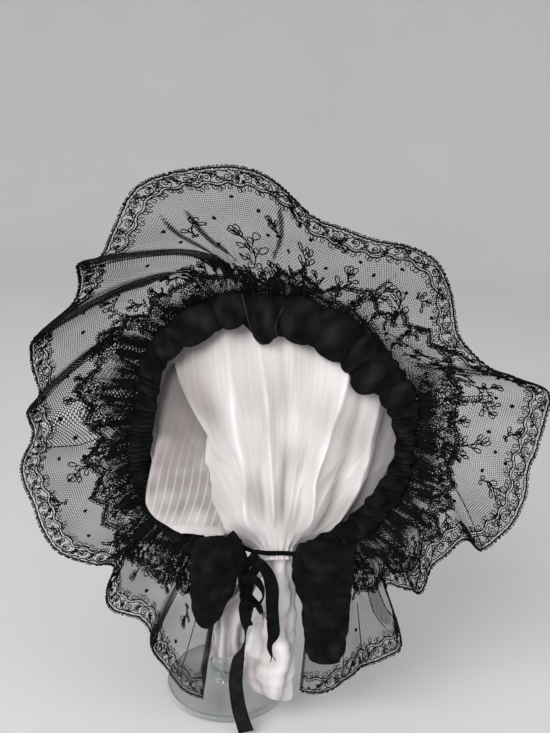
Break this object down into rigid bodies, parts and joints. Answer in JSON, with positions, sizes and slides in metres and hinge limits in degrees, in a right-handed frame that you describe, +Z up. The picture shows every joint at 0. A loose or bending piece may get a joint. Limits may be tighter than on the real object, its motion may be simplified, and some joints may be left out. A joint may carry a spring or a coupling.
{
  "type": "lace cap on a padded glass display stand",
  "caption": "Lace bonnet cap with a wide net ruffle, ribbon band and ties, worn on the head; shown on a cloth-padded form on a glass foot.",
  "frame": {"origin": "middle of the glass foot's flat underside, where the part stands", "axes": "+Z up along the glass stem, the cap's face opening looks towards -Y, +X to the right in the front view"},
  "size_m": [0.3794, 0.197, 0.4552],
  "materials": {
    "black_net": "fine embroidered net, matte",
    "black_lace": "dense floral lace, matte",
    "black_ribbon": "soft silk ribbon with a low sheen",
    "white_cotton": "fine striped cotton, matte",
    "clear_glass": "clear, smooth"
  },
  "bodies": {
    "root": {"outer_ruffle": "black_net", "inner_frill": "black_lace", "face_band": "black_ribbon", "crown": "black_net", "ribbon_loop_left": "black_ribbon", "ribbon_loop_right": "black_ribbon", "chin_tie": "black_ribbon", "tie_knot": "black_ribbon", "tie_tail_short": "black_ribbon", "tie_tail_long": "black_ribbon", "padded_form": "white_cotton", "form_flap": "white_cotton", "cloth_tail_left": "white_cotton", "cloth_tail_right": "white_cotton", "glass_stand": "clear_glass"}
  },
  "joints": []
}
